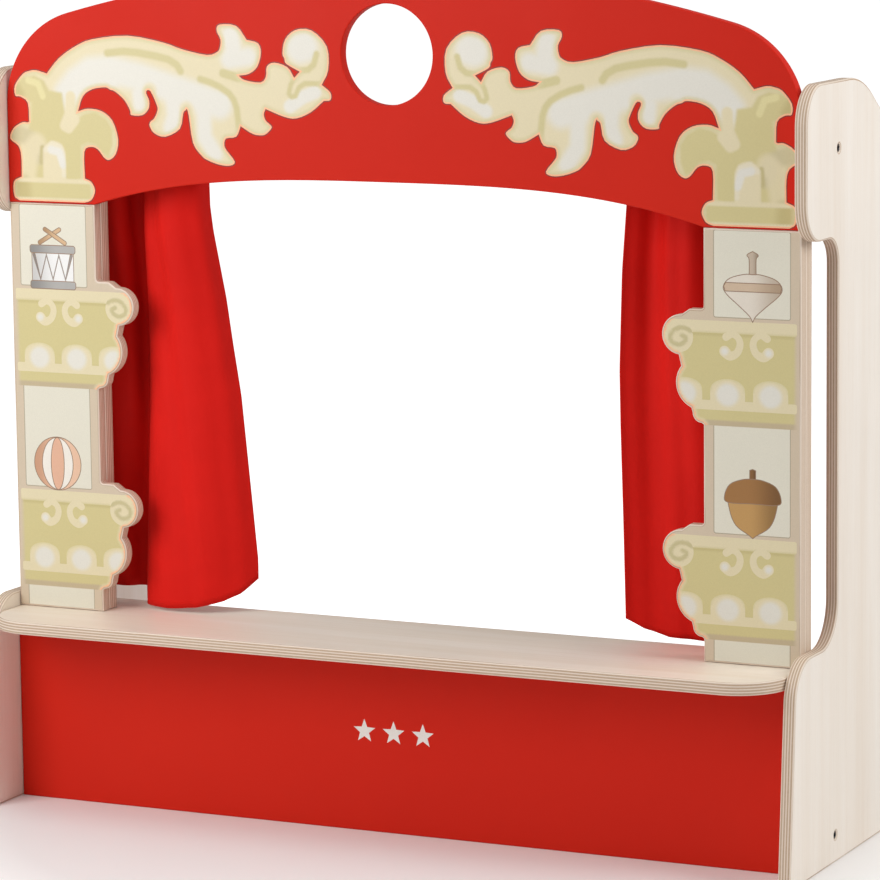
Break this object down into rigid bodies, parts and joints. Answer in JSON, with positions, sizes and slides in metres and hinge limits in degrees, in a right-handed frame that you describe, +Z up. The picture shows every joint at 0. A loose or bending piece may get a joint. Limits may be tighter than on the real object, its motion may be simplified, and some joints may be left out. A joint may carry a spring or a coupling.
{
  "type": "toy puppet theatre stand",
  "caption": "Free-standing toy puppet theatre: plywood side panels, arched red fascia with a round window, stage shelf, decorated pillars and two cloth curtains that slide on a rod.",
  "frame": {"origin": "on the floor, under the middle of the stand: the centre of the bounding box's underside", "axes": "+X along the width, to the right for the audience; +Y from the audience towards the puppeteer; +Z up"},
  "size_m": [0.85, 0.3598, 0.824],
  "materials": {
    "plywood": "birch plywood, clear satin lacquer",
    "red_lacquer": "plywood with a glossy red lacquered face",
    "printed_board": "plywood with a printed cream and olive face, satin",
    "beech": "plain beech, sanded",
    "curtain_cloth": "smooth red cloth with a slight sheen",
    "dark_steel": "black zinc",
    "bright_steel": "bright zinc"
  },
  "bodies": {
    "stand": {"side_panel_left": "plywood", "side_panel_right": "plywood", "stage_shelf": "plywood", "pillar_post_left": "plywood", "pillar_post_right": "plywood", "fascia": "red_lacquer", "front_panel": "red_lacquer", "pillar_board_left": "printed_board", "pillar_board_right": "printed_board", "curtain_rod": "beech", "foot_rail": "beech", "fascia_dowel_left_1": "beech", "fascia_dowel_left_2": "beech", "fascia_dowel_right_1": "beech", "fascia_dowel_right_2": "beech", "shelf_dowel_left_1": "beech", "shelf_dowel_left_2": "beech", "shelf_dowel_right_1": "beech", "shelf_dowel_right_2": "beech", "front_dowel_left_1": "beech", "front_dowel_left_2": "beech", "front_dowel_right_1": "beech", "front_dowel_right_2": "beech", "post_dowel_left_1": "beech", "post_dowel_left_2": "beech", "post_dowel_right_1": "beech", "post_dowel_right_2": "beech", "front_top_dowel_1": "beech", "front_top_dowel_2": "beech", "front_top_dowel_3": "beech", "rod_screw_left": "dark_steel", "rod_screw_right": "dark_steel", "rail_screw_left": "dark_steel", "rail_screw_right": "dark_steel", "lap_screw_left_1": "bright_steel", "lap_screw_left_2": "bright_steel", "lap_screw_right_1": "bright_steel", "lap_screw_right_2": "bright_steel", "decor_screw_left_1": "bright_steel", "decor_screw_left_2": "bright_steel", "decor_screw_left_3": "bright_steel", "decor_screw_right_1": "bright_steel", "decor_screw_right_2": "bright_steel", "decor_screw_right_3": "bright_steel"},
    "left_curtain": {"curtain_left": "curtain_cloth"},
    "right_curtain": {"curtain_right": "curtain_cloth"}
  },
  "joints": [
    {"name": "left_curtain_slide", "type": "slide", "parent": "stand", "child": "left_curtain", "axis": [1, 0, 0], "range_m": [0, 0.165]},
    {"name": "right_curtain_slide", "type": "slide", "parent": "stand", "child": "right_curtain", "axis": [-1, 0, 0], "range_m": [0, 0.21]}
  ]
}
